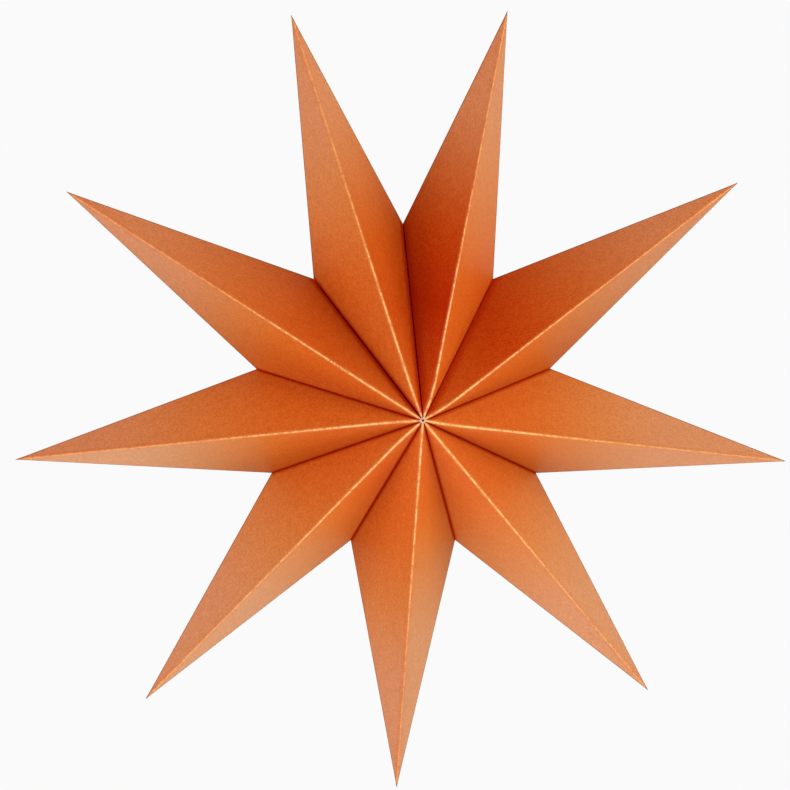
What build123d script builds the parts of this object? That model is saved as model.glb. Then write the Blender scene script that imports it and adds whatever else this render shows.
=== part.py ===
from build123d import *
import math
import os

# A star lantern of folded card, hung in the XZ plane with its front towards -Y.
# Its points are equal four-sided sleeves of card, open towards the middle of the star.
# Each sleeve has tabs along its valley folds, glued to the tabs of the sleeves beside it,
# and two strips of tape close the ring of points at the top.
# Sizes are in millimetres and angles in degrees.

# Star
star_size = 300.0  # across the circle through the tips
point_count = 9
crest_height = 50.0  # middle of either face over the plane of the tips
valley_radius = 58.3  # middle to a notch of an evenly opened star
eye_radius = 1.2  # middle to the cut corners of the sleeves

# Card
card_thickness = 0.3
tab_width = 8.0  # folded in along each valley
tab_slit = 0.8  # between a front tab and a back tab at a notch
lap_width = 8.0  # glue lap that closes a sleeve inside its back crest
lap_setback = 25.0  # between the lap and each end of the sleeve

# Ring as it stands open
closing_angle = 31.4  # between the two points that the tape draws together
slack_angle = 42.9  # at the joints clockwise of them, which have given way
slack_joints = 2

# Closing tape
tape_width = 5.0
tape_thickness = 0.15
tape_setback = 14.0  # between the tape and each end of its valley

tip_radius = star_size / 2
even_joints = point_count - 1 - slack_joints
even_angle = (360 - closing_angle - slack_joints * slack_angle) / even_joints

# The sides of a point run straight from its tip past the notches to a half width at the middle
fair_half = math.radians(180 / point_count)
fair_notch = Vector(valley_radius * math.cos(fair_half), valley_radius * math.sin(fair_half))
side_slope = fair_notch.Y / (tip_radius - fair_notch.X)
flank = tip_radius * side_slope

# A sleeve moved back along its axis by this much has its faces one card deeper
card_shift = card_thickness * tip_radius * math.hypot(1 / tip_radius, 1 / crest_height, 1 / flank)


def notch_radius(angle):
    """Middle of the star to the notch between two points that stand an angle apart."""
    half = math.radians(angle / 2)
    return flank / (math.sin(half) + side_slope * math.cos(half))


def sleeve(cards_deep):
    """Filled point along +X, with its four faces this many cards below the outside."""
    tip = (tip_radius, 0, 0)
    rim = [(0, -crest_height, 0), (0, 0, flank), (0, crest_height, 0), (0, 0, -flank)]
    walls = [Face(Wire.make_polygon([tip, *edge])) for edge in zip(rim, rim[1:] + rim[:1])]
    point = Solid(Shell([*walls, Face(Wire.make_polygon(rim))]))
    return Pos(-cards_deep * card_shift, 0, 0) * point


def joint_plane(side, angle, depth):
    """Plane halfway to the next point, on the +Z side (1) or -Z side (-1), moved in by a depth."""
    half = math.radians(angle / 2)
    outward = Vector(-math.sin(half), 0, side * math.cos(half))
    along = Vector(math.cos(half), 0, side * math.sin(half))
    return Plane(origin=outward * -depth, x_dir=along, z_dir=outward)


def cut_back(shape, *planes):
    """What is left of a shape behind all of these planes."""
    for plane in planes:
        shape = split(shape, bisect_by=plane, keep=Keep.BOTTOM)
    return shape


def tab_window(angle):
    """Opening that leaves the front and back tabs in a joint, as (radius, depth) in its plane."""
    notch = notch_radius(angle)
    lean = math.atan2(crest_height, notch)
    inner_notch = notch - tab_width / math.sin(lean)
    inner_crest = crest_height - tab_width / math.cos(lean)
    opening = Polygon((inner_notch, 0), (0, inner_crest), (0, -inner_crest), align=None)
    return opening + Rectangle(notch, tab_slit, align=(Align.MIN, Align.CENTER))


def glue_lap():
    """Strip of card inside the back crest, folded over from the face on its other side."""
    along = Vector(tip_radius, -crest_height, 0).normalized()
    outward = Vector(1 / tip_radius, 1 / crest_height, -1 / flank).normalized()
    across = outward.cross(along)
    free_edge = Vector(0, crest_height, 0) + across * lap_width
    return cut_back(
        sleeve(1) - sleeve(2),
        Plane(origin=free_edge, z_dir=across),
        Plane(origin=(0, 0, 0), z_dir=(0, 0, 1)),
        Plane(origin=(0, 0, 0), z_dir=(0, -1, 0)),
        Plane(origin=(lap_setback, 0, 0), z_dir=(-1, 0, 0)),
        Plane(origin=(tip_radius - lap_setback, 0, 0), z_dir=(1, 0, 0)),
    )


def star_point(joints):
    """One sleeve along +X, from the (side, angle, half gap) of its two joints."""
    outer_planes = [joint_plane(*joint) for joint in joints]
    inner_planes = [joint_plane(side, angle, half_gap + card_thickness) for side, angle, half_gap in joints]
    point = cut_back(sleeve(0), *outer_planes) - cut_back(sleeve(1), *inner_planes)
    for side, angle, half_gap in joints:
        window = joint_plane(side, angle, half_gap) * tab_window(angle)
        point -= extrude(window, amount=-2 * card_thickness)
    point += glue_lap()
    return cut_back(point, Plane(origin=(eye_radius, 0, 0), z_dir=(-1, 0, 0)))


def closing_tape(face):
    """Strip between the tabs of the closing joint, on the front (-1) or the back (1)."""
    notch = notch_radius(closing_angle)
    lean = math.atan2(crest_height, notch)
    length = math.hypot(notch, crest_height) - 2 * tape_setback
    radius = notch / 2 - tab_width / 2 * math.sin(lean)
    depth = crest_height / 2 - tab_width / 2 * math.cos(lean)
    strip = Pos(radius, face * depth) * Rot(0, 0, -face * math.degrees(lean)) * Rectangle(length, tape_width)
    return extrude(strip, amount=tape_thickness / 2, both=True)


def turned(part, azimuth):
    """Part along +X turned in the plane of the star, anticlockwise as seen from the front."""
    return Rot(0, -azimuth, 0) * part


# Joints clockwise from the closing one, each as (angle, half gap between its tabs)
ring = [(closing_angle, tape_thickness / 2)]
ring += [(slack_angle, 0.0)] * slack_joints
ring += [(even_angle, 0.0)] * even_joints

os.makedirs("parts", exist_ok=True)
azimuth = 90 - closing_angle / 2
for index, joint in enumerate(ring):
    next_joint = ring[(index + 1) % point_count]
    point = star_point([(1, *joint), (-1, *next_joint)])
    export_step(turned(point, azimuth), f"parts/point_{index + 1:02d}.step")
    azimuth -= next_joint[0]

export_step(turned(closing_tape(-1), 90), "parts/closing_tape_front.step")
export_step(turned(closing_tape(1), 90), "parts/closing_tape_back.step")
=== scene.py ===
"""Paper star lantern: nine folded card points round a hollow middle.

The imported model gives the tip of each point. Every point is built again here as one folded sheet of card,
with rounded creases, faces that bow a little, and tabs that meet the next point's tabs in the valleys.
"""

from __future__ import annotations

import logging
from collections.abc import Callable
from dataclasses import dataclass, field, fields
from enum import Enum
from typing import Any

import bmesh
import bpy
import numpy as np
from mathutils import Euler, Matrix, Vector

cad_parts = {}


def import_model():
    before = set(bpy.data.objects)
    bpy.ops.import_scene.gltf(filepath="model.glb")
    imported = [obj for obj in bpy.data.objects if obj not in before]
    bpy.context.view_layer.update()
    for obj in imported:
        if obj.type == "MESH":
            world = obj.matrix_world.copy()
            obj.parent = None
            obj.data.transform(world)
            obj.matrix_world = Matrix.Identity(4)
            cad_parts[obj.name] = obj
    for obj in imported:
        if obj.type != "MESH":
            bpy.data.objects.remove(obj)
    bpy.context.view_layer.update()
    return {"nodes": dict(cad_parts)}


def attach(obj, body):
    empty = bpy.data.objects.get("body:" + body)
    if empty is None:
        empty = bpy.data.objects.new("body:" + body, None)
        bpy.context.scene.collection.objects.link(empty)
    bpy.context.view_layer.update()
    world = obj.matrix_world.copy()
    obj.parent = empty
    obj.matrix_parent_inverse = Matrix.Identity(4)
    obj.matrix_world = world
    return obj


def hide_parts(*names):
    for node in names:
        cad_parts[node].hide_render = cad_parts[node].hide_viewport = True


LOG = logging.getLogger("star_lantern")

MM = 0.001
BODY = "root"
POINT_NODES = [f"point_{number:02d}" for number in range(1, 10)]
TAPE_NODES = ["closing_tape_front", "closing_tape_back"]

Colour = tuple[float, float, float]
WHITE: Colour = (1.0, 1.0, 1.0)

# Numbers of the colour sockets of a Mix node
MIX_FIRST = 6
MIX_SECOND = 7
MIX_RESULT = 2


class Face(Enum):
    """Face of the star: the front looks along -Y and the back along +Y."""

    FRONT = -1
    BACK = 1


class Turn(Enum):
    """Side of a point, as seen from the front of the star."""

    CLOCKWISE = -1
    ANTICLOCKWISE = 1


class Ray(Enum):
    """Kind of ray, by the name of its light path output."""

    CAMERA = "Is Camera Ray"
    GLOSSY = "Is Glossy Ray"
    TRANSMISSION = "Is Transmission Ray"


@dataclass(frozen=True)
class Fade:
    """An effect that has its weight at the full value and beyond, and is gone at the other and beyond."""

    full: float
    none: float
    weight: float = 1.0


@dataclass(frozen=True)
class Noise:
    """A noise in a material: size of its features in millimetres, detail and roughness."""

    size: float
    detail: float
    roughness: float


class Shade:
    """A shader socket that takes part in Python expressions."""

    def __init__(self, graph: Graph, socket: bpy.types.NodeSocket) -> None:
        """Keeps the socket and the graph that its nodes go into."""
        self.graph = graph
        self.socket = socket

    def __add__(self, other: Shade | float) -> Shade:
        """Sum of two values."""
        return self.graph.math("ADD", self, other)

    __radd__ = __add__

    def __mul__(self, other: Shade | float) -> Shade:
        """Product of two values."""
        return self.graph.math("MULTIPLY", self, other)

    __rmul__ = __mul__

    def __sub__(self, other: Shade | float) -> Shade:
        """This value less another."""
        return self.graph.math("SUBTRACT", self, other)

    def __rsub__(self, other: Shade | float) -> Shade:
        """Another value less this one."""
        return self.graph.math("SUBTRACT", other, self)

    def fade(self, fade: Fade) -> Shade:
        """Effect of a fade at this value.

        Args:
            fade: Values at which the effect is full and gone, and its weight.

        Returns:
            The effect, smooth between the two values.
        """
        low, high = sorted((fade.full, fade.none))
        at_low, at_high = (fade.weight, 0.0) if fade.full < fade.none else (0.0, fade.weight)
        values = {"Value": self, "From Min": low, "From Max": high, "To Min": at_low, "To Max": at_high}
        return self.graph.node("ShaderNodeMapRange", {"interpolation_type": "SMOOTHSTEP"}, values, "Result")


class Graph:
    """Node tree of one material or world, filled from Python expressions."""

    def __init__(self, tree: bpy.types.NodeTree) -> None:
        """Keeps the tree and empties it."""
        self.tree = tree
        self.tree.nodes.clear()

    def node(self, kind: str, settings: dict[str, Any], values: dict[Any, Any], output: Any = 0) -> Shade:
        """Adds one node.

        Args:
            kind: Type name of the node.
            settings: Properties of the node, set before its sockets.
            values: Sockets by name or number, each with a number, a colour or a linked value.
            output: Name or number of the output that is wanted.

        Returns:
            The wanted output.
        """
        node = self.tree.nodes.new(kind)
        for name, setting in settings.items():
            setattr(node, name, setting)
        for name, value in values.items():
            socket = node.inputs[name]
            if isinstance(value, Shade):
                self.tree.links.new(value.socket, socket)
            else:
                socket.default_value = (*value, 1.0) if socket.type == "RGBA" else value
        return Shade(self, node.outputs[output] if len(node.outputs) else None)

    def math(self, operation: str, *values: Shade | float) -> Shade:
        """Adds one Math node on these values."""
        return self.node("ShaderNodeMath", {"operation": operation}, dict(enumerate(values)))

    def mix(self, share: Shade | float, first: Any, second: Any) -> Shade:
        """Mixes two colours, from the first at a share of 0 to the second at 1."""
        values = {"Factor": share, MIX_FIRST: first, MIX_SECOND: second}
        return self.node("ShaderNodeMix", {"data_type": "RGBA"}, values, MIX_RESULT)

    def attribute(self, name: str) -> Shade:
        """Value of a mesh attribute."""
        return self.node("ShaderNodeAttribute", {"attribute_name": name}, {}, "Fac")

    def ray(self, kind: Ray) -> Shade:
        """One for rays of this kind and zero for others."""
        return self.node("ShaderNodeLightPath", {}, {}, kind.value)

    def noise(self, noise: Noise) -> Shade:
        """Level of a noise in the object's own coordinates.

        Args:
            noise: Size, detail and roughness of the noise.

        Returns:
            The level, about a half on average.
        """
        place = self.node("ShaderNodeTexCoord", {}, {}, "Object")
        values = {"Vector": place, "Scale": 1 / (noise.size * MM)}
        values.update({"Detail": noise.detail, "Roughness": noise.roughness})
        return self.node("ShaderNodeTexNoise", {}, values, "Fac")


@dataclass(frozen=True)
class CardFinish:
    """Orange card with a fine grain, a pale crest line that is partly wear and partly painted highlight,
    painted shade and a dark joint line in its valleys, painted shade along its side edges, and pale where
    cut.

    Towards the tips the deep orange gives way to a warm one and then to a pale one: painted sheen that
    stands in for the reflection and light on the outer faces. Each has a dark and a light form, which the
    grain mixes. Fades are by millimetres from a crease or along the point, or by the level of a noise.
    """

    deep_dark: Colour = (0.54, 0.054, 0.0012)
    deep_light: Colour = (0.69, 0.130, 0.0100)
    # Painted sheen: the warm and the pale colours stand in for reflection and light on the outer faces
    warm_dark: Colour = (0.53, 0.212, 0.012)
    warm_light: Colour = (0.68, 0.297, 0.020)
    pale_dark: Colour = (0.53, 0.193, 0.082)
    pale_light: Colour = (0.68, 0.293, 0.149)
    # Crease colours: worn card with a painted highlight
    deep_crease: Colour = (0.95, 0.45, 0.17)
    pale_crease: Colour = (0.80, 0.35, 0.14)
    # Painted shade along the side creases
    edge: Colour = (0.15, 0.030, 0.007)
    # Painted shade along the valleys and over sheltered faces
    shadow: Colour = (0.36, 0.004, 0.0005)
    valley: Colour = (0.37, 0.003, 0.0007)
    cut: Colour = (0.92, 0.76, 0.52)

    # Grain
    fine: Noise = Noise(0.75, 1.0, 0.5)
    fibre: Noise = Noise(2.4, 3.0, 0.65)
    cloud: Noise = Noise(28.0, 2.0, 0.5)
    fine_grain: Fade = Fade(0.68, 0.32, 0.60)
    fibre_grain: Fade = Fade(0.72, 0.28, 0.28)
    cloud_grain: float = 0.12

    # Painted sheen left off beside the crests, and crest colour that is wear and painted highlight
    sheen_off_crest: Fade = Fade(0.4, 2.8, 0.32)
    wear_highlight_line: Fade = Fade(0.28, 0.82)
    wear_highlight_beside: Fade = Fade(0.4, 1.8, 0.14)
    wear_highlight_fibre: Fade = Fade(0.57, 0.42, 0.50)
    wear_highlight_fine: Fade = Fade(0.60, 0.40, 0.25)
    wear_highlight_least: float = 0.12
    wear_highlight_inner: Fade = Fade(15.0, 45.0, 0.35)
    wear_highlight_outer: Fade = Fade(45.0, 95.0, 0.51)
    wear_highlight_tip: float = 0.44

    # Painted shade along the side edges, the dark joint line in the valleys, and the cut eye
    side_line: Fade = Fade(0.25, 0.72)
    side_fibre: float = 0.4
    side_least: float = 0.60
    valley_line: Fade = Fade(0.14, 0.50)
    eye_edge: Fade = Fade(0.6, 1.4, 0.7)

    # Relief and gloss
    fine_height: float = 0.6
    fibre_height: float = 0.4
    grain_depth: float = 0.00003
    grain_strength: float = 0.4
    roughness_least: float = 0.43
    roughness_grain: float = 0.10
    ior: float = 1.5
    gloss: float = 0.75
    gloss_tint: Colour = (0.75, 1.0, 0.30)
    matt_valley: Fade = Fade(0.1, 0.7)
    matt_nook: Fade = Fade(0.6, 0.0)

    def wear_and_highlight(self, crest: Shade, place: Shade, fine: Shade, fibre: Shade) -> Shade:
        """How far a crest takes its crease colour, partly wear and partly painted highlight: a line that the
        grain breaks up and a soft band, stronger inwards.

        Args:
            crest: Distance from the crest.
            place: Place along the point.
            fine: Level of the fine noise.
            fibre: Level of the fibre noise.

        Returns:
            The share of the crease's colour.
        """
        broken = fibre.fade(self.wear_highlight_fibre) + fine.fade(self.wear_highlight_fine) + self.wear_highlight_least
        wear_highlight = crest.fade(self.wear_highlight_line) * broken + crest.fade(self.wear_highlight_beside)
        return wear_highlight * (place.fade(self.wear_highlight_inner) + place.fade(self.wear_highlight_outer) + self.wear_highlight_tip)

    def face_colour(self, graph: Graph, grain: Shade, pale: Shade) -> Shade:
        """Colour of the faces away from their creases, with the painted sheen towards the tips.

        Args:
            graph: Node tree of the material.
            grain: Share of the light form of each colour.
            pale: How far the deep colour has given way to the painted sheen.

        Returns:
            The colour.
        """
        sheen_ramp = graph.attribute("sheen_ramp")
        dark = graph.mix(pale, self.deep_dark, graph.mix(sheen_ramp, self.warm_dark, self.pale_dark))
        light = graph.mix(pale, self.deep_light, graph.mix(sheen_ramp, self.warm_light, self.pale_light))
        return graph.mix(grain, dark, light)

    def material(self, name: str) -> bpy.types.Material:
        """Builds the card's material.

        Args:
            name: Name of the material.

        Returns:
            The material, which reads the distances and tones that a folded point stores.
        """
        made = bpy.data.materials.new(name)
        made.use_nodes = True
        graph = Graph(made.node_tree)
        crest = graph.attribute("crest_mm")
        valley = graph.attribute("valley_mm")
        place = graph.attribute("along_mm")
        nook = graph.attribute("nook")
        fine = graph.noise(self.fine)
        fibre = graph.noise(self.fibre)
        cloud = graph.noise(self.cloud)
        grain = fine.fade(self.fine_grain) + fibre.fade(self.fibre_grain) + cloud * self.cloud_grain
        # Painted sheen towards the tips, left off beside the crests
        pale = graph.attribute("pale") * (1 - crest.fade(self.sheen_off_crest))
        # Crease colour along the crests: worn card with a painted highlight
        crease = graph.mix(pale, self.deep_crease, self.pale_crease)
        side = graph.attribute("side_mm").fade(self.side_line)
        bare = graph.math("MAXIMUM", graph.attribute("cut_edge"), place.fade(self.eye_edge))
        # Painted shade along the valleys and over sheltered faces
        colour = graph.mix(nook, self.face_colour(graph, grain, pale), self.shadow)
        colour = graph.mix(self.wear_and_highlight(crest, place, fine, fibre), colour, crease)
        # Painted shade: a dark line along the side creases, broken by the fibre
        colour = graph.mix(side * (fibre * self.side_fibre + self.side_least), colour, self.edge)
        colour = graph.mix(valley.fade(self.valley_line), colour, self.valley)
        colour = graph.mix(bare, colour, self.cut)
        relief = {"Height": fine * self.fine_height + fibre * self.fibre_height}
        relief.update({"Strength": self.grain_strength, "Distance": self.grain_depth})
        surface = {"Base Color": colour, "Normal": graph.node("ShaderNodeBump", {}, relief)}
        sheen = {"Roughness": grain * self.roughness_grain + self.roughness_least, "IOR": self.ior}
        sheen.update({"Specular IOR Level": self.gloss, "Specular Tint": self.gloss_tint})
        dull = {"Roughness": 1.0, "Specular IOR Level": 0.0}
        glossy = graph.node("ShaderNodeBsdfPrincipled", {}, {**surface, **sheen}, "BSDF")
        matt = graph.node("ShaderNodeBsdfPrincipled", {}, {**surface, **dull}, "BSDF")
        sheltered = graph.math("MAXIMUM", valley.fade(self.matt_valley), nook.fade(self.matt_nook))
        sheltered = graph.math("MAXIMUM", sheltered, side)
        shader = graph.node("ShaderNodeMixShader", {}, {0: sheltered, 1: glossy, 2: matt})
        graph.node("ShaderNodeOutputMaterial", {}, {"Surface": shader})
        return made


@dataclass(frozen=True)
class TapeFinish:
    """Thin pale double-sided tape with faint cloudy streaks."""

    tone: Colour = (0.78, 0.74, 0.64)
    streak: Colour = (0.68, 0.63, 0.52)
    cloud: Noise = Noise(3.0, 3.0, 0.6)
    streaks: Fade = Fade(0.65, 0.35)
    roughness_least: float = 0.28
    roughness_cloud: float = 0.15

    def material(self, name: str) -> bpy.types.Material:
        """Builds the tape's material.

        Args:
            name: Name of the material.

        Returns:
            The material.
        """
        made = bpy.data.materials.new(name)
        made.use_nodes = True
        graph = Graph(made.node_tree)
        cloud = graph.noise(self.cloud)
        colour = graph.mix(cloud.fade(self.streaks), self.tone, self.streak)
        values = {"Base Color": colour, "Roughness": cloud * self.roughness_cloud + self.roughness_least}
        shader = graph.node("ShaderNodeBsdfPrincipled", {}, values, "BSDF")
        graph.node("ShaderNodeOutputMaterial", {}, {"Surface": shader})
        return made


def eased(count: int) -> np.ndarray:
    """Numbers from 0 to 1 that crowd towards both ends: half of one minus a cosine."""
    return (1 - np.cos(np.linspace(0, np.pi, count))) / 2


def smooth_step(share: np.ndarray) -> np.ndarray:
    """Share held between 0 and 1 and eased at both ends: three times its square less twice its cube."""
    held = np.clip(share, 0, 1)
    return held * held * (3 - 2 * held)


def along(first: np.ndarray, last: np.ndarray, shares: np.ndarray) -> np.ndarray:
    """Points on the straight line between two points, at these shares of the way."""
    return first + shares[:, None] * (last - first)


def distance_to_line(points: np.ndarray, first: np.ndarray, last: np.ndarray) -> np.ndarray:
    """Distance of points from a straight line: length of what is left of the offset across the line.

    Args:
        points: Points in rows.
        first: One point of the line.
        last: Another point of the line.

    Returns:
        The distance of each point.
    """
    unit = (last - first) / np.linalg.norm(last - first)
    offset = points - first
    return np.linalg.norm(offset - (offset @ unit)[..., None] * unit, axis=-1)


def crease_drop(distance: np.ndarray, radius: np.ndarray, turn: float) -> np.ndarray:
    """How far a rounded crease lies below the sharp one.

    The crease is an arc that touches both faces. Its height over the arc's centre is the root of the
    radius squared less the sideways offset squared, and the sharp crease falls off by the tangent of half
    the turn.

    Args:
        distance: Distance from the sharp crease, within the face.
        radius: Radius of the arc, broadcast against the distance.
        turn: Angle in radians that the card turns through at the crease.

    Returns:
        The drop along the outward middle of the crease, zero outside the arc.
    """
    half = turn / 2
    sideways = distance * np.cos(half)
    safe = np.minimum(sideways, radius * np.sin(half))
    arc = np.sqrt(np.maximum(radius**2 - safe**2, 0)) - radius / np.cos(half) + safe * np.tan(half)
    return np.where(sideways < radius * np.sin(half), -arc, 0)


@dataclass(frozen=True)
class FoldSizes:
    """Sizes of a folded point in millimetres. Those that are called shares are parts of one.

    The height of the crest, the radius of the valleys, the card and the width of the tabs are those of the
    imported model.
    """

    crest_height: float = 50.0
    valley_radius: float = 58.3
    card: float = 0.3
    tab_width: float = 8.0
    tab_room_share: float = 0.97
    tab_clearance: float = 0.002
    eye_radius: float = 0.6
    crest_round: float = 0.70
    crest_round_tip: float = 0.42
    side_round: float = 0.45
    round_from_share: float = 0.04
    crevice: float = 0.08
    wide_crevice: float = 0.20
    crevice_depth: float = 2.0
    crevice_tab_share: float = 0.6
    notch_gap: float = 0.004
    notch_run: float = 7.0
    closing_share: float = 0.9
    tape_clearance: float = 0.08
    tape_start: float = 10.0
    tape_taper: float = 4.0
    tip_blunt: float = 0.5
    tip_nose: float = 0.12
    bow: float = 0.30
    lean_end_share: float = 0.10
    least_depth: float = 1e-6


@dataclass(frozen=True)
class FoldGrid:
    """How finely a folded point is meshed, with the merge distance in metres and the angle in degrees."""

    tip_to_valley: int = 72
    eye_columns: int = 3
    valley_columns: int = 26
    tab_shares: tuple[float, ...] = (0.06, 0.15, 0.30, 0.62, 1.0)
    merge_distance: float = 1e-7
    sharp_angle: float = 40.0


@dataclass(frozen=True)
class TipDrift:
    """How far a tip strays from its place, in millimetres, as folded card does."""

    inward: float = 0.0
    forward: float = 0.0
    clockwise: float = 0.0

    def offset(self) -> np.ndarray:
        """The drift as (along the point, depth, sideways)."""
        return np.array([-self.inward, -self.forward, -self.clockwise])


@dataclass(frozen=True)
class FacePaintedLight:
    """Painted light that sets one side of a point apart from others, with lengths in millimetres.

    It takes painted shade to a depth at its valley, which runs out over a length, and by a tone over its
    inner part. Its painted sheen starts nearer the middle by the lead, and it turns paler by a share.
    """

    nook_run: float = 3.6
    nook_depth: float = 0.62
    tone: float = 0.0
    lead: float = 0.0
    paler: float = 0.0


@dataclass(frozen=True)
class ShelterShade:
    """How the painted shade of a sheltered face runs along it, in millimetres from the middle."""

    full: float = 40.0
    gone: float = 115.0
    middle_share: float = 0.42

    def share(self, place: np.ndarray) -> np.ndarray:
        """A straight rise from the middle's share to one where it is full, then a straight fall to zero."""
        rise = self.middle_share + (1 - self.middle_share) * np.clip(place / self.full, 0, 1)
        return rise * np.clip((self.gone - place) / (self.gone - self.full), 0, 1)


@dataclass(frozen=True)
class PaintedSheen:
    """Painted sheen: how the card is painted paler towards the tips, with lengths in millimetres.

    A point's place in the star is given by how far right and how high it lies, the cosine and sine of its
    azimuth. The same numbers, with the sign of the side, say how far a face looks up and left.
    """

    start: float = 42.0
    end: float = 118.0
    strength: float = 0.75
    less_up: float = 0.12
    less_up_left: float = 0.10
    less_left: float = 0.08
    less_high: float = 0.16
    less_low: float = 0.07
    lead_right: float = 2.5
    lead_low: float = 4.5
    lead_down: float = 13.0

    def strength_on(self, azimuth: float, turn: Turn) -> float:
        """Strength of the painted sheen on one side of a point.

        It falls as the face looks up, more so on the left of the star, and as it looks left, where less
        light and reflection fall. It also falls as the point lies higher, by one slope above the middle of
        the star and another below it.

        Args:
            azimuth: Angle of the point in radians, from the right and anticlockwise.
            turn: Side of the point.

        Returns:
            The strength, which may pass 1.
        """
        right, rise = np.cos(azimuth), np.sin(azimuth)
        up, left = turn.value * right, turn.value * rise
        slope = self.less_high if rise > 0 else self.less_low
        looks = up * (self.less_up - self.less_up_left * right) + left * self.less_left
        return self.strength - looks - rise * slope

    def lead_on(self, azimuth: float, turn: Turn) -> float:
        """How much nearer the middle the painted sheen starts on one side of a point.

        The lead grows to the right, on lower points and on faces that look down, where more light falls.

        Args:
            azimuth: Angle of the point in radians, from the right and anticlockwise.
            turn: Side of the point.

        Returns:
            The lead in millimetres.
        """
        right, rise = np.cos(azimuth), np.sin(azimuth)
        down = max(-turn.value * right, 0.0)
        return self.lead_right * right - self.lead_low * rise + self.lead_down * down

    def share(self, place: np.ndarray, lead: np.ndarray) -> np.ndarray:
        """Painted sheen by place alone: a smooth step from start to end, moved in by the lead."""
        return smooth_step((place + lead - self.start) / (self.end - self.start))


# Sides of points with painted light of their own: painted shade where a neighbour shelters them,
# and painted sheen that starts sooner or differs in strength
FACE_PAINTED_LIGHT = {
    ("point_01", Turn.ANTICLOCKWISE): FacePaintedLight(9.0, 0.60, 0.79),
    ("point_02", Turn.ANTICLOCKWISE): FacePaintedLight(7.0, 0.60, 0.52, paler=-0.13),
    ("point_03", Turn.ANTICLOCKWISE): FacePaintedLight(lead=10.0),
    ("point_04", Turn.ANTICLOCKWISE): FacePaintedLight(lead=8.0),
    ("point_05", Turn.ANTICLOCKWISE): FacePaintedLight(lead=16.0, paler=0.08),
    ("point_06", Turn.ANTICLOCKWISE): FacePaintedLight(lead=6.0, paler=0.06),
    ("point_06", Turn.CLOCKWISE): FacePaintedLight(lead=8.0),
    ("point_08", Turn.CLOCKWISE): FacePaintedLight(6.0, 0.80, 0.26, paler=-0.10),
    ("point_09", Turn.CLOCKWISE): FacePaintedLight(8.0, 0.75, 0.34),
    ("point_09", Turn.ANTICLOCKWISE): FacePaintedLight(4.5, 0.75),
}

# Sides of the joint that stands a little open beside the closing one
OPEN_SIDES = {("point_08", Turn.CLOCKWISE), ("point_09", Turn.ANTICLOCKWISE)}

# How far crests lean clockwise, in millimetres
CREST_LEANS = {
    "point_01": 1.7,
    "point_02": 1.3,
    "point_03": 0.6,
    "point_06": 0.8,
    "point_07": 0.5,
    "point_09": -0.45,
}

# Tips that stray from their places
TIP_DRIFTS = {
    "point_05": TipDrift(forward=6.0, clockwise=1.0),
    "point_06": TipDrift(forward=6.0),
    "point_07": TipDrift(inward=1.9),
    "point_08": TipDrift(inward=1.0, clockwise=-1.0),
    "point_09": TipDrift(clockwise=0.8),
}


@dataclass
class Quarter:
    """One of the four faces of a point, as columns from its crest to its side edge."""

    outer: np.ndarray
    inner: np.ndarray
    tab_way: np.ndarray
    tab_depth: np.ndarray
    joint_normal: np.ndarray
    crest_normal: np.ndarray
    side_normal: np.ndarray
    face_normal: np.ndarray
    crest_offset: np.ndarray
    side_offset: np.ndarray
    inner_crest_offset: np.ndarray
    inner_side_offset: np.ndarray
    across: np.ndarray
    cut: np.ndarray
    bow: np.ndarray
    gap: np.ndarray
    # Painted shade in the valley and over a sheltered face, then the strength and lead of the painted sheen
    nook_run: np.ndarray
    nook_depth: np.ndarray
    tone: np.ndarray
    strength: np.ndarray
    lead: np.ndarray

    def each(self, change: Callable[[np.ndarray], np.ndarray]) -> Quarter:
        """The same face with one change made to all of its arrays."""
        return Quarter(*(change(getattr(self, item.name)) for item in fields(self)))

    def backwards(self) -> Quarter:
        """The same face with its columns from the side edge to the crest."""
        return self.each(lambda values: values[::-1])

    def without_last(self) -> Quarter:
        """The same face without its last column, which the next face repeats."""
        return self.each(lambda values: values[:-1])

    @classmethod
    def joined(cls, faces: list[Quarter]) -> Quarter:
        """All the columns of these faces in a row."""
        return cls(*(np.concatenate([getattr(face, item.name) for face in faces]) for item in fields(cls)))


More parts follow.
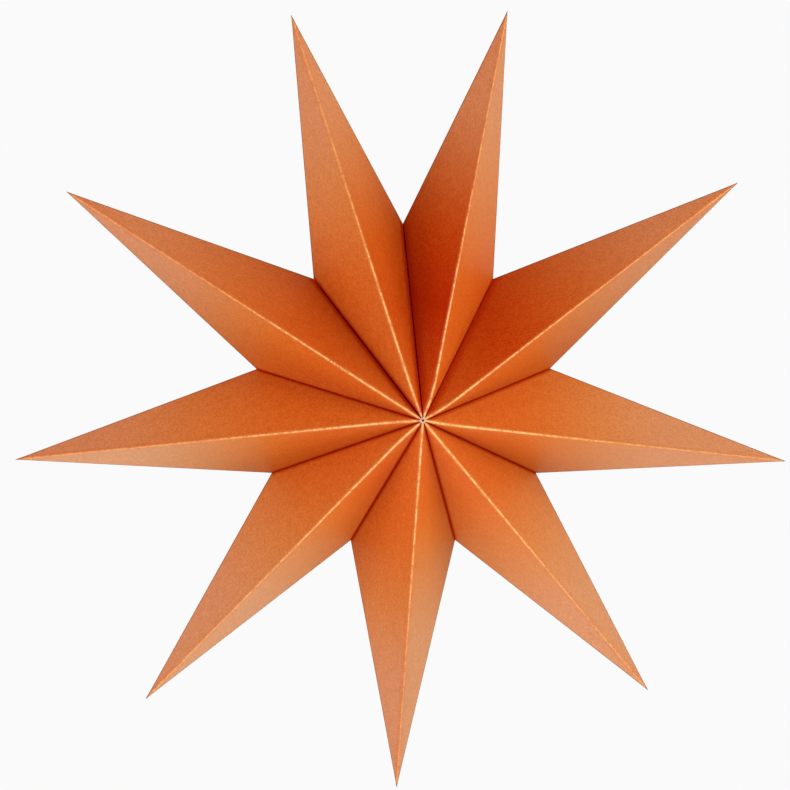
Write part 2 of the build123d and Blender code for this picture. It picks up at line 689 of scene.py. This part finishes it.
@dataclass
class StarPoint:
    """One point of the star: a sheet of card folded into a four-sided sleeve with glue tabs.

    In its own frame the point lies along +X, with its depth along Y and its sides along Z.
    """

    node: str
    tip_radius: float
    azimuth: float
    half_angles: dict[Turn, float]
    fair_half: float
    random: np.random.Generator
    sizes: FoldSizes = field(default_factory=FoldSizes)
    grid: FoldGrid = field(default_factory=FoldGrid)
    sheen_ramp: PaintedSheen = field(default_factory=PaintedSheen)
    red: ShelterShade = field(default_factory=ShelterShade)

    def __post_init__(self) -> None:
        """Works out what follows from the sizes: slopes, half width, normals, fold angles and tips."""
        notch = self.sizes.valley_radius * np.exp(1j * self.fair_half)
        self.side_slope = notch.imag / (self.tip_radius - notch.real)
        self.flank = self.tip_radius * self.side_slope
        inverse = np.array([1 / self.tip_radius, 1 / self.sizes.crest_height, 1 / self.flank])
        self.face_normal = inverse / np.linalg.norm(inverse)
        self.card_shift = self.sizes.card / self.face_normal[0]
        self.crest_turn = 2 * np.arcsin(self.face_normal[2])
        self.side_turn = 2 * np.arcsin(self.face_normal[1])
        self.crest_length = np.hypot(self.tip_radius, self.sizes.crest_height)
        self.tip = np.array([self.tip_radius, 0.0, 0.0])
        self.inner_tip = self.tip - [self.card_shift, 0.0, 0.0]

    def face_depth(self, x: float, z: float, shift: float) -> float:
        """Depth of a face over the plane of the tips at a place, for the sleeve moved back by a shift."""
        return self.sizes.crest_height * (1 - (x + shift) / self.tip_radius - abs(z) / self.flank)

    def valley_end(self, x: float, half: float, inset: float, shift: float) -> np.ndarray:
        """Point of the valley: sideways its place times the half angle's tangent, less inset over cosine."""
        z = max(x * np.tan(half) - inset / np.cos(half), 0.0)
        return np.array([x, self.face_depth(x, z, shift), z])

    def notch(self, half: float, inset: float, shift: float) -> np.ndarray:
        """Point where the straight side edge meets the joint plane.

        Args:
            half: Half the angle of the joint, in radians.
            inset: How far the joint plane is moved in.
            shift: How far the sleeve is moved back along its axis.

        Returns:
            The notch as (x, depth, sideways).
        """
        reach = self.flank * (1 - shift / self.tip_radius) + inset / np.cos(half)
        x = reach / (np.tan(half) + self.side_slope)
        return np.array([x, 0.0, x * np.tan(half) - inset / np.cos(half)])

    def rim(self, half: float, inset: float, shift: float) -> np.ndarray:
        """Inner edge of one face from its crest, straight across the cut eye and along the valley.

        Args:
            half: Half the angle of the joint, in radians.
            inset: How far the joint plane is moved in.
            shift: How far the sleeve is moved back along its axis.

        Returns:
            One point for each column, from the crest to the notch.
        """
        eye = self.sizes.eye_radius
        crest = np.array([eye, self.face_depth(eye, 0.0, shift), 0.0])
        start = self.valley_end(eye, half, inset, shift)
        eye_shares = np.linspace(0, 1, self.grid.eye_columns, endpoint=False)
        valley = along(start, self.notch(half, inset, shift), eased(self.grid.valley_columns))
        return np.concatenate([along(crest, start, eye_shares), valley])

    def valley_rims(self, half: float, crevice: float) -> tuple[np.ndarray, np.ndarray, np.ndarray]:
        """Outer and inner edge of the card along one valley, which shuts by a smooth step at its notch.

        Args:
            half: Half the angle of the joint, in radians.
            crevice: Half the width of the valley's crevice.

        Returns:
            The outer edge, the inner edge and how far each column is shut.
        """
        sizes = self.sizes
        outer = self.rim(half, crevice, 0.0)
        inner = self.rim(half, crevice + sizes.card, self.card_shift)
        shut = smooth_step(1 - np.linalg.norm(outer - outer[-1], axis=1) / sizes.notch_run)
        outer += shut[:, None] * (self.rim(half, sizes.notch_gap, 0.0) - outer)
        inner += shut[:, None] * (self.rim(half, sizes.notch_gap + sizes.card, self.card_shift) - inner)
        return outer, inner, shut

    def joint_normal(self, half: float) -> np.ndarray:
        """Unit vector square to a joint plane, towards the next point."""
        return np.array([-np.sin(half), 0.0, np.cos(half)])

    def tab_lines(self, half: float, outer: np.ndarray, taped: bool) -> tuple[np.ndarray, ...]:
        """How the tabs along one valley lie.

        A tab goes in along the joint plane, square to its valley. It is as deep as its width, but keeps to a
        share of the room that is left: to the star's axis the run along the valley over its slope, and to
        the plane of the tips the rest of the valley times its slope.

        Args:
            half: Half the angle of the joint, in radians.
            outer: Outer edge of the card along the valley.
            taped: Leaves room for the tape between the tabs if true.

        Returns:
            The way that the tabs go in, and for each column the tab's depth and its clearance.
        """
        sizes = self.sizes
        first = self.grid.eye_columns
        valley = outer[-1] - outer[first]
        length = np.linalg.norm(valley)
        way = np.cross(self.joint_normal(half), valley / length)
        way *= -np.sign(way[0])
        slope = sizes.crest_height / np.hypot(outer[-1][0], outer[-1][2])
        run = np.clip(np.linalg.norm(outer - outer[first], axis=1), 0, length)
        run[:first] = 0
        room = np.minimum(run / slope, (length - run) * slope)
        depth = np.minimum(sizes.tab_width, room * sizes.tab_room_share)
        held = np.clip((np.minimum(run, length - run) - sizes.tape_start) / sizes.tape_taper, 0, 1)
        spare = sizes.tape_clearance - sizes.tab_clearance if taped else 0.0
        return way, depth, sizes.tab_clearance + held * spare

    def quarter(self, face: Face, turn: Turn) -> Quarter:
        """Columns of one of the point's four faces.

        Args:
            face: Front or back of the star.
            turn: Clockwise or anticlockwise side of the point.

        Returns:
            The columns from crest to side edge.
        """
        sizes = self.sizes
        half = self.half_angles[turn]
        flip = np.array([1.0, face.value, turn.value])
        closing = half < self.fair_half * sizes.closing_share
        wide = closing or (self.node, turn) in OPEN_SIDES
        crevice = sizes.wide_crevice if wide else sizes.crevice
        outer, inner, shut = self.valley_rims(half, crevice)
        tab_way, tab_depth, clearance = self.tab_lines(half, outer, closing)
        # Painted shade and painted sheen of this side
        painted_light = FACE_PAINTED_LIGHT.get((self.node, turn), FacePaintedLight())
        strength = self.sheen_ramp.strength_on(self.azimuth, turn) + painted_light.paler
        lead = self.sheen_ramp.lead_on(self.azimuth, turn) + painted_light.lead
        peak = np.array([0.0, sizes.crest_height, 0.0])
        corner = np.array([0.0, 0.0, self.flank])
        shift = np.array([self.card_shift, 0.0, 0.0])
        crest_offset = distance_to_line(outer, self.tip, peak)
        side_offset = distance_to_line(outer, self.tip, corner)
        count = len(outer)

        def spread(vector: np.ndarray) -> np.ndarray:
            """The unit vector, turned to this face, once for each column."""
            return np.repeat((vector / np.linalg.norm(vector) * flip)[None], count, axis=0)

        return Quarter(
            outer=outer * flip,
            inner=inner * flip,
            tab_way=spread(tab_way),
            tab_depth=tab_depth,
            joint_normal=spread(self.joint_normal(half)),
            crest_normal=spread(self.face_normal * [1, 1, 0]),
            side_normal=spread(self.face_normal * [1, 0, 1]),
            face_normal=spread(self.face_normal),
            crest_offset=crest_offset,
            side_offset=side_offset,
            inner_crest_offset=distance_to_line(inner, self.inner_tip, peak - shift),
            inner_side_offset=distance_to_line(inner, self.inner_tip, corner - shift),
            across=crest_offset / (crest_offset + side_offset),
            cut=np.where(np.arange(count) <= self.grid.eye_columns, 1.0, 0.0),
            bow=np.full(count, self.random.uniform(-1, 1) * sizes.bow),
            gap=crevice - clearance + shut * (sizes.notch_gap - crevice),
            nook_run=np.full(count, painted_light.nook_run),
            nook_depth=np.full(count, painted_light.nook_depth),
            tone=np.full(count, painted_light.tone),
            strength=np.full(count, np.clip(strength, 0, 1)),
            lead=np.full(count, lead),
        )

    def columns(self) -> Quarter:
        """Columns once round the point: front crest, clockwise side, back crest, anticlockwise side.

        Returns:
            The columns of all four faces, each crest and side edge once.
        """
        faces = [
            self.quarter(Face.FRONT, Turn.CLOCKWISE),
            self.quarter(Face.BACK, Turn.CLOCKWISE).backwards(),
            self.quarter(Face.BACK, Turn.ANTICLOCKWISE),
            self.quarter(Face.FRONT, Turn.ANTICLOCKWISE).backwards(),
        ]
        return Quarter.joined([face.without_last() for face in faces])

    def skin(self, columns: Quarter, inside: bool, shares: np.ndarray) -> np.ndarray:
        """Surface of the card from the tip towards the valleys.

        Every point of it lies on a straight ray from the strayed tip to the rim, at a share of the way. The
        creases are then rounded, with a crest's radius growing evenly from the tip. Each face bows by a sine
        across and a sine along. A crest's lean grows evenly from the tip and settles to none at the rim by a
        parabola, and it fades evenly across the face.

        Args:
            columns: Columns round the point.
            inside: Inner surface of the card if true, else the outer one.
            shares: Share of the way from the tip for each row.

        Returns:
            Array of rows, columns and coordinates, in millimetres in the point's own frame.
        """
        sizes = self.sizes
        tip = self.inner_tip if inside else self.tip
        rim = columns.inner if inside else columns.outer
        crest = columns.inner_crest_offset if inside else columns.crest_offset
        side = columns.inner_side_offset if inside else columns.side_offset
        thin = sizes.card if inside else 0.0
        row = shares[:, None]
        tip = tip + TIP_DRIFTS.get(self.node, TipDrift()).offset()
        surface = tip + row[..., None] * (rim - tip)
        scale = np.clip(row / sizes.round_from_share, 0, 1)
        crest_round = sizes.crest_round_tip + row * (sizes.crest_round - sizes.crest_round_tip)
        crest_drop = crease_drop(row * crest, (crest_round - thin) * scale, self.crest_turn)
        side_drop = crease_drop(row * side, (sizes.side_round - thin) * scale, self.side_turn)
        surface -= crest_drop[..., None] * columns.crest_normal + side_drop[..., None] * columns.side_normal
        settle = np.clip((1 - row) / sizes.lean_end_share, 0, 1)
        lean = CREST_LEANS.get(self.node, 0.0) * row * settle * (2 - settle)
        surface[..., 2] -= lean * (1 - columns.across)
        swell = columns.bow * np.sin(np.pi * columns.across) * np.sin(np.pi * np.minimum(row, 1))
        return surface + swell[..., None] * columns.face_normal

    def tabs(self, columns: Quarter, rim: np.ndarray, shares: np.ndarray) -> np.ndarray:
        """Surface of the tabs below a rim.

        It goes in along the joint by a share of each tab's depth, and over to the next point's tab by a
        smooth step that closes the crevice.

        Args:
            columns: Columns round the point.
            rim: Edge that the tabs start from.
            shares: Share of the tabs' depth for each row.

        Returns:
            Array of rows, columns and coordinates, in millimetres in the point's own frame.
        """
        sizes = self.sizes
        depth = shares[:, None] * columns.tab_depth
        shallow = sizes.crevice_tab_share * columns.tab_depth + sizes.least_depth
        step = columns.gap * smooth_step(depth / np.minimum(sizes.crevice_depth, shallow))
        return rim + depth[..., None] * columns.tab_way + step[..., None] * columns.joint_normal

    def stored(self, columns: Quarter, place: np.ndarray, shares: np.ndarray) -> dict[str, np.ndarray]:
        """Values that the card's finish reads from the grid.

        Distances from crests and side edges grow evenly with the share of the way from the tip. The distance
        from a valley is taken along the crest on the outside, and below zero it is the depth in the tabs.

        Args:
            columns: Columns round the point.
            place: Place of every vertex along the point.
            shares: Share of the way from the tip for each row of the faces.

        Returns:
            One array of rows and columns for each attribute.
        """
        tab_shares = np.array(self.grid.tab_shares)
        tab_rows = np.ones(2 * len(tab_shares))
        at_rim = np.isclose(shares, 1)
        scale = np.concatenate([shares, tab_rows, shares[::-1]])[:, None]
        cut_rows = np.concatenate([at_rim, tab_rows, at_rim[::-1]])[:, None]
        tab_depth = tab_shares[:, None] * columns.tab_depth
        outside = (1 - shares)[:, None] * np.full_like(columns.across, self.crest_length)
        inside = np.full_like(outside, -self.sizes.tab_width)
        valley = np.concatenate([outside, -tab_depth, -tab_depth[::-1], inside])
        # Painted shade: red along the valley, running out over its run, and over the inner part of sheltered
        # faces
        nook = columns.nook_depth * smooth_step(1 - np.abs(valley) / columns.nook_run)
        tone = columns.tone * self.red.share(place)
        sheen_ramp = self.sheen_ramp.share(place, columns.lead)
        return {
            "nook": nook + tone * (1 - nook),
            "crest_mm": scale * columns.crest_offset,
            "side_mm": scale * columns.side_offset,
            "valley_mm": valley,
            "cut_edge": cut_rows * columns.cut,
            "along_mm": place,
            # Painted sheen towards the tips
            "sheen_ramp": sheen_ramp,
            "pale": columns.strength * sheen_ramp,
        }

    def surface(self) -> tuple[np.ndarray, dict[str, np.ndarray]]:
        """Whole sheet as one grid: tip, outer faces, tabs out and back, inner faces, inner tip.

        Returns:
            The grid in millimetres in the point's own frame, and the values stored on its vertices.
        """
        columns = self.columns()
        first = self.sizes.tip_blunt / self.tip_radius
        shares = first + (1 - first) * eased(self.grid.tip_to_valley)
        tab_shares = np.array(self.grid.tab_shares)
        outer = self.skin(columns, False, shares)
        inner = self.skin(columns, True, shares[::-1])
        outer_tabs = self.tabs(columns, outer[-1], tab_shares)
        inner_tabs = self.tabs(columns, inner[0], tab_shares[::-1])
        rows = np.concatenate([outer, outer_tabs, inner_tabs, inner])
        return rows, self.stored(columns, rows[..., 0], shares)

    def placed(self, points: np.ndarray) -> np.ndarray:
        """Points of the point's own frame, turned about Y to its azimuth.

        Args:
            points: Points in rows, in millimetres.

        Returns:
            The points in the star's frame, in metres.
        """
        cosine, sine = np.cos(self.azimuth), np.sin(self.azimuth)
        turn = np.array([[cosine, 0.0, -sine], [0.0, 1.0, 0.0], [sine, 0.0, cosine]])
        return points @ turn.T * MM

    def mesh(self) -> bpy.types.Mesh:
        """Mesh of the sheet: the grid joined round the point, with a fan of triangles at each tip.

        Returns:
            The mesh with its stored values, smooth apart from sharp edges.
        """
        rows, stored = self.surface()
        count, width = rows.shape[:2]
        nose = rows[0].mean(axis=0) + [self.sizes.tip_nose, 0.0, 0.0]
        inner_nose = rows[-1].mean(axis=0)
        points = np.concatenate([rows.reshape(-1, 3), nose[None], inner_nose[None]])
        index = np.arange(count * width).reshape(count, width)
        beside = np.roll(index, -1, axis=1)
        quads = np.stack([index[:-1], index[1:], beside[1:], beside[:-1]], axis=-1).reshape(-1, 4)
        tip_fan = np.stack([np.full(width, count * width), index[0], beside[0]], axis=-1)
        inner_fan = np.stack([np.full(width, count * width + 1), beside[-1], index[-1]], axis=-1)
        faces = [*quads.tolist(), *tip_fan.tolist(), *inner_fan.tolist()]
        mesh = bpy.data.meshes.new(f"{self.node}_card")
        mesh.from_pydata(self.placed(points).tolist(), [], faces)
        for name, values in stored.items():
            layer = mesh.attributes.new(name, "FLOAT", "POINT")
            ends = [values[0].mean(), values[-1].mean()]
            layer.data.foreach_set("value", np.append(values, ends).astype(np.float32))
        merge_doubles(mesh, self.grid.merge_distance)
        mesh.shade_smooth()
        mesh.set_sharp_from_angle(angle=np.radians(self.grid.sharp_angle))
        return mesh

    def build(self, material: bpy.types.Material) -> bpy.types.Object:
        """Makes the folded sheet and puts it in place of its CAD node.

        Args:
            material: Finish of the card.

        Returns:
            The finished piece.
        """
        mesh = self.mesh()
        mesh.materials.append(material)
        piece = bpy.data.objects.new(f"{self.node}_card", mesh)
        bpy.context.scene.collection.objects.link(piece)
        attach(piece, BODY)
        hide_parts(self.node)
        return piece


def merge_doubles(mesh: bpy.types.Mesh, distance: float) -> None:
    """Merges vertices that lie on each other and drops the faces that this leaves with no area.

    Args:
        mesh: Mesh to change.
        distance: Distance in metres within which vertices are merged.
    """
    work = bmesh.new()
    work.from_mesh(mesh)
    bmesh.ops.remove_doubles(work, verts=work.verts, dist=distance)
    bmesh.ops.dissolve_degenerate(work, dist=distance, edges=work.edges)
    work.to_mesh(mesh)
    work.free()


@dataclass
class Star:
    """The whole lantern: its points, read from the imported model, and the tape that closes the ring."""

    nodes: dict[str, bpy.types.Object]
    card: CardFinish = field(default_factory=CardFinish)
    tape: TapeFinish = field(default_factory=TapeFinish)

    def tips(self) -> np.ndarray:
        """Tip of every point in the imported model: the vertex furthest from the middle.

        Returns:
            The tips in rows, in millimetres.
        """
        found = []
        for name in POINT_NODES:
            vertices = self.nodes[name].data.vertices
            points = np.empty(len(vertices) * 3)
            vertices.foreach_get("co", points)
            points = points.reshape(-1, 3)
            found.append(points[np.argmax(np.linalg.norm(points, axis=1))])
        return np.array(found) / MM

    def points(self) -> list[StarPoint]:
        """Points of the star, each with half the angle to either neighbour.

        Returns:
            The points clockwise from the closing joint.
        """
        tips = self.tips()
        azimuths = np.arctan2(tips[:, 2], tips[:, 0])
        steps = np.mod(azimuths - np.roll(azimuths, -1), 2 * np.pi)
        fair_half = np.pi / len(POINT_NODES)
        made = []
        for number, name in enumerate(POINT_NODES):
            halves = {Turn.CLOCKWISE: steps[number] / 2, Turn.ANTICLOCKWISE: steps[number - 1] / 2}
            radius = float(np.hypot(tips[number, 0], tips[number, 2]))
            random = np.random.default_rng(number)
            made.append(StarPoint(name, radius, azimuths[number], halves, fair_half, random))
        return made

    def build(self) -> list[bpy.types.Object]:
        """Makes every folded point and dresses the closing tape.

        Returns:
            The finished pieces.
        """
        card = self.card.material("card")
        pieces = [point.build(card) for point in self.points()]
        tape = self.tape.material("tape")
        for name in TAPE_NODES:
            self.nodes[name].data.materials.clear()
            self.nodes[name].data.materials.append(tape)
            pieces.append(self.nodes[name])
        return pieces


def sphere_direction(azimuth: float, elevation: float) -> Vector:
    """Unit vector towards a place round the star, in degrees: azimuth 0 is in front, 90 on the right."""
    turn = Euler((np.radians(-elevation), 0.0, np.radians(azimuth)))
    return turn.to_matrix() @ Vector((0.0, -1.0, 0.0))


@dataclass(frozen=True)
class Softbox:
    """A square area lamp that looks at the middle of the star, in degrees, watts and metres."""

    name: str
    azimuth: float
    elevation: float
    power: float
    size: float = 1.4
    distance: float = 1.4
    colour: Colour = WHITE

    def build(self) -> None:
        """Makes the lamp at its place round the star, unseen by the camera."""
        data = bpy.data.lights.new(self.name, "AREA")
        data.size = self.size
        data.energy = self.power
        data.color = self.colour
        lamp = bpy.data.objects.new(self.name, data)
        away = sphere_direction(self.azimuth, self.elevation)
        lamp.location = away * self.distance
        lamp.rotation_euler = away.to_track_quat("Z", "Y").to_euler()
        lamp.visible_camera = False
        bpy.context.scene.collection.objects.link(lamp)


@dataclass(frozen=True)
class Studio:
    """Floor, soft light and camera, in metres and degrees. None of it belongs to the lantern."""

    backdrop: float = 0.956
    world_light: float = 0.38
    sky: float = 0.16
    floor_height: float = -1.75
    floor_size: float = 60.0
    floor_tone: float = 0.80
    floor_shadow: float = 0.10
    lamps: tuple[Softbox, ...] = (
        Softbox("left_lamp", -58.0, 2.0, 12.6, size=1.2, colour=(1.0, 0.97, 1.13)),
        Softbox("right_lamp", 58.0, 12.0, 14.6, size=1.2, colour=(1.0, 1.0, 0.82)),
        Softbox("low_lamp", 5.0, -74.0, 14.6),
        Softbox("high_lamp", 20.0, 55.0, 5.6, size=1.2),
        Softbox("left_back_lamp", -118.0, 8.0, 3.6),
        Softbox("right_back_lamp", 118.0, 8.0, 2.4),
        Softbox("back_lamp", 180.0, 20.0, 12.0),
    )
    camera_azimuth: float = -6.564
    camera_elevation: float = 9.034
    camera_roll: float = -1.150
    camera_distance: float = 1.0
    camera_aim: tuple[float, float, float] = (-0.00417, 0.00074, 0.00166)
    sensor_mm: float = 36.0
    lens_mm: float = 120.82

    def build_world(self) -> None:
        """White surroundings: a backdrop to the camera, a dim sky in reflections, else a plain light."""
        world = bpy.data.worlds.new("surroundings")
        world.use_nodes = True
        graph = Graph(world.node_tree)
        mirrored = graph.math("MAXIMUM", graph.ray(Ray.GLOSSY), graph.ray(Ray.TRANSMISSION))
        level = graph.ray(Ray.CAMERA) * (self.backdrop - self.world_light) + self.world_light
        level = level + mirrored * (self.sky - self.world_light)
        shader = graph.node("ShaderNodeBackground", {}, {"Color": WHITE, "Strength": level})
        graph.node("ShaderNodeOutputWorld", {}, {"Surface": shader})
        bpy.context.scene.world = world

    def floor_material(self) -> bpy.types.Material:
        """Matt pale floor, which to the camera is mostly as white as the surroundings.

        Returns:
            The material. The matt share that the camera sees keeps the shadow of the star.
        """
        material = bpy.data.materials.new("floor")
        material.use_nodes = True
        graph = Graph(material.node_tree)
        matt = graph.node("ShaderNodeBsdfDiffuse", {}, {"Color": (self.floor_tone,) * 3}, "BSDF")
        lit = self.floor_shadow * self.floor_tone * self.world_light
        level = (self.backdrop - lit) / (1 - self.floor_shadow)
        white = graph.node("ShaderNodeEmission", {}, {"Strength": level}, "Emission")
        share = graph.ray(Ray.CAMERA) * (1 - self.floor_shadow)
        shader = graph.node("ShaderNodeMixShader", {}, {0: share, 1: matt, 2: white})
        graph.node("ShaderNodeOutputMaterial", {}, {"Surface": shader})
        return material

    def build_floor(self) -> None:
        """Square floor below the hanging star."""
        corners = np.array([(-1, -1), (1, -1), (1, 1), (-1, 1)]) * self.floor_size / 2
        points = np.column_stack([corners, np.full(len(corners), self.floor_height)])
        mesh = bpy.data.meshes.new("floor")
        mesh.from_pydata(points.tolist(), [], [(0, 1, 2, 3)])
        mesh.materials.append(self.floor_material())
        floor = bpy.data.objects.new("floor", mesh)
        bpy.context.scene.collection.objects.link(floor)

    def build_camera(self) -> None:
        """Camera a little above and to the left of the star's own axis, as in the photograph."""
        data = bpy.data.cameras.new("camera")
        data.sensor_width = self.sensor_mm
        data.lens = self.lens_mm
        camera = bpy.data.objects.new("camera", data)
        back = sphere_direction(self.camera_azimuth, self.camera_elevation)
        level = back.to_track_quat("Z", "Y").to_matrix()
        roll = Matrix.Rotation(np.radians(self.camera_roll), 3, "Z")
        place = Vector(self.camera_aim) + back * self.camera_distance
        camera.matrix_world = Matrix.Translation(place) @ (level @ roll).to_4x4()
        bpy.context.scene.collection.objects.link(camera)
        bpy.context.scene.camera = camera

    def build(self) -> None:
        """Makes the surroundings, the floor, the lamps and the camera."""
        self.build_world()
        self.build_floor()
        for lamp in self.lamps:
            lamp.build()
        self.build_camera()
        bpy.context.scene.view_settings.view_transform = "Standard"


def main() -> None:
    """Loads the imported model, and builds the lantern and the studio."""
    logging.basicConfig(level=logging.INFO, format="%(name)s: %(message)s")
    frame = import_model()
    star = Star(frame["nodes"])
    for piece in star.build():
        LOG.info("%s: %d faces", piece.name, len(piece.data.polygons))
    Studio().build()


if __name__ == "__main__":
    main()
